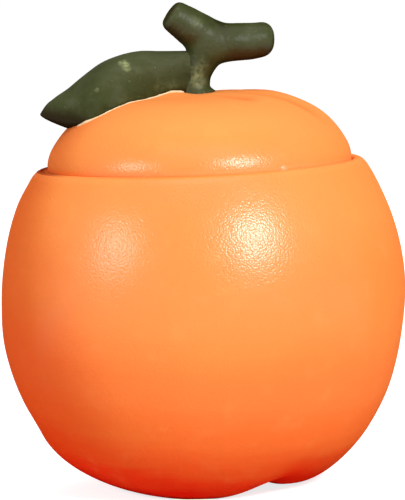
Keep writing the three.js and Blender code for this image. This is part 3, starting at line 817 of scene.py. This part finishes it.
class Wire:
    """A socket of a material's nodes. Arithmetic on wires adds Math nodes."""

    def __init__(self, socket):
        self.socket = socket

    def node(self, kind, settings, inputs, output=0):
        """A new node of a type: its settings first, then its sockets set or linked. Gives an output of it."""
        tree = self.socket.id_data
        made = tree.nodes.new(kind)
        for name, value in settings.items():
            if name == "stops":
                lay_stops(made.color_ramp, value)
            else:
                setattr(made, name, value)
        for key, value in inputs.items():
            if isinstance(value, Wire):
                tree.links.new(value.socket, made.inputs[key])
            else:
                made.inputs[key].default_value = value
        return Wire(made.outputs[output]) if made.outputs else None

    def math(self, operation, first, second):
        """A Math node on two values or wires."""
        return self.node("ShaderNodeMath", {"operation": operation}, {0: first, 1: second})

    def __add__(self, other):
        return self.math("ADD", self, other)

    def __sub__(self, other):
        return self.math("SUBTRACT", self, other)

    def __rsub__(self, other):
        return self.math("SUBTRACT", other, self)

    def __mul__(self, other):
        return self.math("MULTIPLY", self, other)

    def __truediv__(self, other):
        return self.math("DIVIDE", self, other)

    __radd__ = __add__
    __rmul__ = __mul__

    def step(self, low, high):
        """0 below low, 1 above high, and a smooth S between them."""
        inputs = {"Value": self, "From Min": low, "From Max": high}
        return self.node("ShaderNodeMapRange", {"interpolation_type": "SMOOTHSTEP"}, inputs)

    def axis(self, letter):
        """X, Y or Z of this vector."""
        return self.node("ShaderNodeSeparateXYZ", {}, {"Vector": self}, letter)

    def noise(self, scale, detail=2, roughness=0.5, stretch=(1, 1, 1)):
        """Noise with patches of about 1 / scale, drawn out along the axes with a small stretch."""
        place = self.node("ShaderNodeMapping", {}, {"Vector": self, "Scale": stretch})
        inputs = {"Vector": place, "Scale": scale, "Detail": detail, "Roughness": roughness}
        return self.node("ShaderNodeTexNoise", {}, inputs, "Fac")

    def mark(self, name):
        """A float attribute of the piece's mesh."""
        return self.node("ShaderNodeAttribute", {"attribute_name": name}, {}, "Fac")

    def blend(self, first, second):
        """The first colour where this share is 0, the second where it is 1, a mix between."""
        return self.node("ShaderNodeMix", {"data_type": "RGBA"}, {0: self, 6: first, 7: second}, 2)

    def toward(self, colour, share):
        """This colour mixed with another by a share."""
        return share.blend(self, colour)

    def bump(self, distance, strength=1.0):
        """A normal from this height, which is a share of a distance in metres."""
        inputs = {"Strength": strength, "Distance": distance, "Height": self}
        return self.node("ShaderNodeBump", {}, inputs, "Normal")


def lay_stops(ramp, stops):
    """Sets the stops of a colour ramp from (place, colour) pairs."""
    ramp.interpolation = "EASE"
    while len(ramp.elements) < len(stops):
        ramp.elements.new(0.5)
    for element, (place, colour) in zip(ramp.elements, stops):
        element.position = place
        element.color = colour


def blank_material(name):
    """A new material and a wire with the object's own coordinates."""
    material = bpy.data.materials.new(name)
    material.use_nodes = True
    material.node_tree.nodes.clear()
    return material, Wire(material.node_tree.nodes.new("ShaderNodeTexCoord").outputs["Object"])


def close_material(surface):
    """Joins a shader to its material's output."""
    surface.node("ShaderNodeOutputMaterial", {}, {"Surface": surface})


# Colours, linear
ORANGE_BY_HEIGHT = (
    (0.0, (0.95, 0.018, 0.005, 1)),
    (0.03, (0.94, 0.046, 0.009, 1)),
    (0.08, (0.91, 0.104, 0.018, 1)),
    (0.16, (0.93, 0.170, 0.032, 1)),
    (0.27, (0.95, 0.210, 0.047, 1)),
    (0.45, (0.96, 0.250, 0.053, 1)),
    (0.75, (0.95, 0.252, 0.052, 1)),
    (1.0, (0.95, 0.260, 0.056, 1)),
)
# Painted shade colours: in the crown's creases, by the underside's creases, and on the left side
LID_CREASE_SHADE = (0.82, 0.14, 0.022, 1)
CREASE_SHADE_RED = (0.96, 0.008, 0.002, 1)
LEFT_SHADE_RED = (0.78, 0.035, 0.003, 1)
# Pale glaze for random tone, thin glaze and painted light; a dark painted shade for the gap at the left
GLAZE_PALE_AND_LIT = (0.96, 0.42, 0.13, 1)
GAP_SHADE_COLOUR = (0.20, 0.020, 0.006, 1)
LINING_CREAM = (0.60, 0.53, 0.41, 1)
BARE_CLAY = (0.66, 0.52, 0.38, 1)
OLIVE_DARK = (0.022, 0.026, 0.006, 1)
OLIVE_MID = (0.042, 0.050, 0.014, 1)
OLIVE_GREY = (0.080, 0.087, 0.042, 1)
# Brown for patches and cut ends and as painted shade under the arms; a dark painted shade for the leaf's
# edges
OLIVE_BROWN_AND_SHADE = (0.031, 0.016, 0.0045, 1)
OLIVE_EDGE_SHADE = (0.020, 0.012, 0.004, 1)
OLIVE_PALE = (0.30, 0.33, 0.15, 1)
SILICONE_MILK = (0.56, 0.55, 0.51, 1)
SILICONE_DUST = (0.45, 0.44, 0.40, 1)
SLIP_CREAM = (0.90, 0.72, 0.48, 1)
SLIP_OCHRE = (0.78, 0.48, 0.22, 1)
FLOOR_PALE = (0.68, 0.68, 0.68, 1)
FLOOR_GLOW = 0.78

# Orange glaze, lengths in metres: its shades by height, the painted shade that reddens its left side, where
# it is dull, its peel and shine
GLAZE_TOP = 0.104
LEFT_SHADE_TILT = 0.19
LEFT_SHADE_TILT_HEIGHTS = (0.001, 0.010)
LOW_LEFT_SHADE_SIDES = (0.0115, 0.0345)
LOW_LEFT_SHADE_NARROWING = 0.3
LOW_LEFT_SHADE_HEIGHTS = (0.006, 0.015)
LOW_LEFT_SHADE_FADE_HEIGHTS = (0.032, 0.120)
FLANK_HEIGHTS = (0.060, 0.085)
SHINY_HEIGHTS = (0.034, 0.068)
CROWN_DULL_HEIGHTS = (0.0885, 0.094)
PEEL_CELLS = 1950
PEEL_DEPTH = 0.00006
ORANGE_SHINE = 0.54
MATT_ROUGHNESS = 0.75

# Pimples of glaze near the lid's edge: centre in millimetres and radius
PALE_PIMPLE = ((21.3, -33.6, 85.0), 1.2)
SMALL_PIMPLE = ((-10.5, -38, 85.6), 0.8)

# Olive glaze: shine, and pale spots with their centre in millimetres, radius and strength: worn spots, and
# one painted glint on the left arm
TWIG_SHINE = 0.2
TWIG_SPOTS = (
    ((0.3, -3.7, 106.2), 3.0, 0.4),
    ((0.1, -3.7, 108.8), 2.6, 0.3),
    ((1.6, -3.9, 111.0), 2.6, 0.16),
    # A painted glint on the left arm
    ((0.6, -5.7, 122.0), 2.6, 0.2),
)
LEAF_SHINE = 0.05
LEAF_SPOTS = (
    ((-18.7, -7.5, 111.6), 2.0, 1.0),
    ((-18.2, -8.5, 110.2), 1.8, 0.9),
    ((-21.5, -9.0, 109.0), 1.3, 0.5),
    ((-25.6, -12.4, 105.3), 0.9, 1.0),
    ((-29.8, -6.5, 106.5), 0.9, 0.5),
    ((-6.3, -4.6, 105.3), 2.3, 0.12),
    ((-9.8, -6.4, 105.3), 2.3, 0.10),
)
SPOT_CORE = 0.25
BRUSH_DEPTH = 0.00024


def spot(place, centre, radius):
    """1 round a centre in millimetres, fading to 0 at a radius."""
    inputs = {0: place, 1: Vector(centre) * MM}
    away = place.node("ShaderNodeVectorMath", {"operation": "DISTANCE"}, inputs, "Value")
    return 1 - away.step(radius * SPOT_CORE * MM, radius * MM)


def aslant(place, low, high):
    """0 where the surface faces the eye, 1 where it is seen at a slant."""
    return place.node("ShaderNodeLayerWeight", {}, {"Blend": 0.5}, "Facing").step(low, high)


def glaze(place, colour, rough, skin, dull, shine):
    """A glaze of one colour that is satin with a level of shine, and dull by a share."""

    def coat(roughness, level):
        return place.node("ShaderNodeBsdfPrincipled", {}, {
            "Base Color": colour, "Normal": skin, "Roughness": roughness, "Specular IOR Level": level,
        })

    return place.node("ShaderNodeMixShader", {}, {0: dull, 1: coat(rough, shine), 2: coat(MATT_ROUGHNESS, 0)})


def orange_glaze():
    """Satin orange glaze with an orange-peel skin, over a cream lining and bare clay. It deepens to red at
    the foot, is reddened on the left side by painted shade, is paler on thin edges and as painted light, has
    painted shade in creases and a dark painted shade in the gap at the left, and is dull low down, on the
    crown and where it is seen at a slant."""
    material, place = blank_material("orange_glaze")
    cloud = place.noise(38, 3)
    fine = place.noise(160, 3)
    lines = place.noise(30, 3, stretch=(1, 1, 16))
    left = place.math("MAXIMUM", -1 * place.axis("X"), 0)
    height = place.axis("Z")

    # Painted shade: the left side sits lower on the ramp of shades, so it is redder
    tilt = left * (0.4 + height.step(*LEFT_SHADE_TILT_HEIGHTS) * 0.6) * LEFT_SHADE_TILT
    level = (height - tilt) / GLAZE_TOP + (cloud - 0.5) * 0.07 + (lines - 0.5) * 0.05
    orange = place.node("ShaderNodeValToRGB", {"stops": ORANGE_BY_HEIGHT}, {0: level}, "Color")
    # Paler: random tone, and the thin mark's thin glaze and painted light
    orange = orange.toward(GLAZE_PALE_AND_LIT, (fine - 0.5).step(0.0, 0.5) * 0.20 + place.mark("thin") * 0.4)
    # Painted shade: red low on the left and on the left flank
    low_left_shade = (left + (cloud - 0.5) * 0.012 - height * LOW_LEFT_SHADE_NARROWING).step(*LOW_LEFT_SHADE_SIDES)
    low_left_shade = low_left_shade * height.step(*LOW_LEFT_SHADE_HEIGHTS) * (1 - height.step(*LOW_LEFT_SHADE_FADE_HEIGHTS))
    flank = place.mark("flank") * (0.08 + height.step(*FLANK_HEIGHTS) * 0.22)
    orange = orange.toward(LEFT_SHADE_RED, low_left_shade * 0.5 + flank)
    # Painted shade in the crown's creases, by the underside's creases and in the gap at the left
    orange = orange.toward(LID_CREASE_SHADE, place.mark("crease") * 0.55)
    orange = orange.toward(CREASE_SHADE_RED, place.mark("deep") * 0.8)
    orange = orange.toward(GAP_SHADE_COLOUR, place.mark("pool"))
    lining = (place.mark("lining") + (fine - 0.5) * 0.3).step(0.4, 0.6)
    bare = (place.mark("bare") + (fine - 0.5) * 0.5).step(0.4, 0.6)
    colour = orange.toward(LINING_CREAM, lining).toward(BARE_CLAY, bare)
    pale_pimple = spot(place, *PALE_PIMPLE)
    colour = colour.toward(SLIP_CREAM, pale_pimple * 0.32)

    pimples = pale_pimple + spot(place, *SMALL_PIMPLE) * 0.5
    inputs = {"Vector": place, "Scale": PEEL_CELLS, "Smoothness": 0.3}
    cell = place.node("ShaderNodeTexVoronoi", {"feature": "SMOOTH_F1"}, inputs, "Distance")
    peel = 1 - cell * cell
    waves = place.noise(300, 1)
    skin = (peel + waves * 0.2 + lines * 0.3 + pimples * 3).bump(PEEL_DEPTH)
    low = 1 - height.step(*SHINY_HEIGHTS)
    crown = height.step(*CROWN_DULL_HEIGHTS) * 0.95
    dull = place.math("MAXIMUM", low + crown, bare)
    dull = place.math("MAXIMUM", dull, aslant(place, 0.10, 0.52))
    close_material(glaze(place, colour, 0.31 + (cloud - 0.5) * 0.08, skin, dull, ORANGE_SHINE))
    return material


def olive_glaze(name, shine, spots):
    """Mottled dark olive glaze, brushed, with a grey painted sheen on the leaf's ridge, brown patches and cut
    ends, brown painted shade under the arms, dark painted shade along the leaf's margins and underside, and
    pale worn spots and specks, some of them painted glints."""
    material, place = blank_material(name)
    cloud = place.noise(120, 4)
    strokes = place.noise(260, 4, 0.65, stretch=(0.35, 1, 1))
    grain = place.noise(900, 3)
    specks = place.noise(1300, 2, 0.6)
    stops = ((0.34, OLIVE_DARK), (0.50, OLIVE_MID), (0.70, OLIVE_GREY))
    colour = place.node("ShaderNodeValToRGB", {"stops": stops}, {0: cloud * 0.6 + strokes * 0.4}, "Color")
    # Brown: random patches, the cut ends, and painted shade under the arms
    brown = place.noise(75, 2).step(0.52, 0.72) * 0.2 + place.mark("brown") * 0.85
    colour = colour.toward(OLIVE_BROWN_AND_SHADE, place.math("MINIMUM", brown, 1))
    # Grey painted sheen on the leaf's ridge
    colour = colour.toward(OLIVE_GREY, place.mark("ridge") * (0.6 + cloud.step(0.3, 0.6) * 0.15))
    # Pale: worn spots, and specks and one spot that are painted glints
    worn_and_glints = specks.step(0.66, 0.78) * 0.22
    for centre, radius, strength in spots:
        worn_and_glints = worn_and_glints + spot(place, centre, radius) * (grain.step(0.25, 0.70) * strength)
    colour = colour.toward(OLIVE_PALE, place.math("MINIMUM", worn_and_glints, 0.9))
    # Dark painted shade along the leaf's margins and underside
    colour = colour.toward(OLIVE_EDGE_SHADE, place.mark("edge") * 0.9)
    skin = (strokes * 0.5 + grain * 0.5).bump(BRUSH_DEPTH)
    close_material(glaze(place, colour, 0.44 + (cloud - 0.5) * 0.25, skin, aslant(place, 0.18, 0.60), shine))
    return material


def plain_material(name, look):
    """A material of one Principled shader: colour, roughness and normal come from a function of the place."""
    material, place = blank_material(name)
    colour, rough, skin = look(place)
    inputs = {"Base Color": colour, "Roughness": rough, "Normal": skin}
    close_material(place.node("ShaderNodeBsdfPrincipled", {}, inputs))
    return material


def cream_slip(place):
    """Pale cream slip, a little uneven."""
    cloud = place.noise(500, 3)
    return cloud.blend(SLIP_CREAM, SLIP_OCHRE), 0.45 + cloud * 0.2, cloud.bump(0.0001, 0.6)


def silicone(place):
    """Milky silicone with a little dust in its surface."""
    dust = place.noise(400, 4).step(0.45, 0.75)
    skin = place.noise(1500, 2).bump(0.00005, 0.5)
    return (dust * 0.6).blend(SILICONE_MILK, SILICONE_DUST), 0.45 + dust * 0.25, skin


def floor_material():
    """Pale matt floor with the jar's shadow, which shows white to the eye and in reflections."""
    material, place = blank_material("floor")
    ray = place.node("ShaderNodeLightPath", {}, {}, "Is Camera Ray")
    path = ray.socket.node
    seen = (ray + Wire(path.outputs["Is Glossy Ray"]) + Wire(path.outputs["Is Transmission Ray"])).step(0, 1)
    matt = place.node("ShaderNodeBsdfDiffuse", {}, {"Color": FLOOR_PALE})
    glow = place.node("ShaderNodeEmission", {}, {"Strength": seen * FLOOR_GLOW})
    close_material(place.node("ShaderNodeAddShader", {}, {0: matt, 1: glow}))
    return material


# Stage, in metres and degrees
FLOOR_HOLE = 0.001
FLOOR_RADIUS = 40
FLOOR_RINGS = 24
FLOOR_SIDES = 96
WORLD_LIGHT = 0.34
LAMP_AIM = Vector((0, 0, 0.06))
# Lamps: azimuth right of the front, elevation above the table, distance, size, power
LAMPS = {
    "key": (31.2, 27, 0.75, 0.10, 4.2),
    "fill": (-52, 21, 0.85, 0.14, 2.0),
    "top": (10, 80, 0.9, 0.7, 2.4),
    "back": (175, 25, 0.9, 0.5, 2.0),
}
CAMERA_PLACE = (0, -0.9, 0.152)
CAMERA_TILT = 5.72
CAMERA_ROLL = 1.95
CAMERA_LENS = 248.3


def add_floor():
    """A wide disc on the table's level: rings of points from a pinhole in the middle out."""
    radius = np.geomspace(FLOOR_HOLE, FLOOR_RADIUS, FLOOR_RINGS)[:, None]
    angle = np.linspace(0, 2 * np.pi, FLOOR_SIDES, endpoint=False)
    points = np.stack([radius * np.cos(angle), radius * np.sin(angle), 0 * radius * angle], -1)
    quads = round_quads(*points.shape[:2])
    mesh = bpy.data.meshes.new("floor")
    mesh.from_pydata(points.reshape(-1, 3).tolist(), [], quads.tolist())
    mesh.materials.append(floor_material())
    floor = bpy.data.objects.new("floor", mesh)
    bpy.context.scene.collection.objects.link(floor)


def add_softbox(name, azimuth, elevation, distance, size, power):
    """A square lamp aimed at the jar, at angles in degrees right of the front and above the table."""
    turn, lift = math.radians(azimuth), math.radians(elevation)
    way = Vector((math.sin(turn) * math.cos(lift), -math.cos(turn) * math.cos(lift), math.sin(lift)))
    lamp = bpy.data.lights.new(name, "AREA")
    lamp.shape = "SQUARE"
    lamp.size = size
    lamp.energy = power
    holder = bpy.data.objects.new(name, lamp)
    holder.location = LAMP_AIM + way * distance
    holder.rotation_euler = way.to_track_quat("Z", "Y").to_euler()
    bpy.context.scene.collection.objects.link(holder)


def add_world():
    """Even soft light all round."""
    world = bpy.data.worlds.new("studio")
    world.use_nodes = True
    world.node_tree.nodes.clear()
    place = Wire(world.node_tree.nodes.new("ShaderNodeTexCoord").outputs["Generated"])
    light = place.node("ShaderNodeBackground", {}, {"Color": (1, 1, 1, 1), "Strength": WORLD_LIGHT})
    place.node("ShaderNodeOutputWorld", {}, {"Surface": light})
    bpy.context.scene.world = world


def add_camera():
    """The photograph's view: in front of the jar and a little above, tilted down and rolled a little."""
    lens = bpy.data.cameras.new("camera")
    lens.sensor_width = 36
    lens.lens = CAMERA_LENS
    lens.clip_start = 0.01
    camera = bpy.data.objects.new("camera", lens)
    tilt = Matrix.Rotation(math.radians(90 - CAMERA_TILT), 4, "X")
    roll = Matrix.Rotation(math.radians(-CAMERA_ROLL), 4, "Z")
    camera.matrix_world = Matrix.Translation(CAMERA_PLACE) @ tilt @ roll
    bpy.context.scene.collection.objects.link(camera)
    bpy.context.scene.camera = camera


def place_piece(piece, body, node):
    """The piece moves with a body and stands in for a node, which is hidden."""
    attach(piece, body)
    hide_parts(node)


def build_jar():
    """The six pieces of the jar. The bead of slip is the only one that stands in for no node."""
    orange = orange_glaze()
    body = piece_of_rings("fruit_body", *body_surface(), orange)
    place_piece(body, "jar", "jar_body")
    lid = piece_of_rings("fruit_lid", *lid_surface(), orange)
    place_piece(lid, "lid", "lid")

    points = seal_surface()
    faces = round_quads(*points.shape[:2], rows_close=True).tolist()
    seal = new_piece("lid_seal", points.reshape(-1, 3), faces, plain_material("silicone", silicone))
    place_piece(seal, "seal", "seal_ring")

    places, faces, marks = twig_surface()
    twig = new_piece("twig", places, faces, olive_glaze("olive_twig", TWIG_SHINE, TWIG_SPOTS), marks)
    place_piece(twig, "lid", "stem")
    leaf = piece_of_rings("leaf_blade", *leaf_surface(), olive_glaze("olive_leaf", LEAF_SHINE, LEAF_SPOTS))
    place_piece(leaf, "lid", "leaf")

    bead = new_piece("slip_bead", *slip_bead(), plain_material("cream_slip", cream_slip))
    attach(bead, "lid")


bpy.context.scene.view_settings.view_transform = "Standard"
add_camera()
add_world()
add_floor()
for lamp_name, lamp_values in LAMPS.items():
    add_softbox(lamp_name, *lamp_values)
build_jar()

bpy.context.view_layer.update()
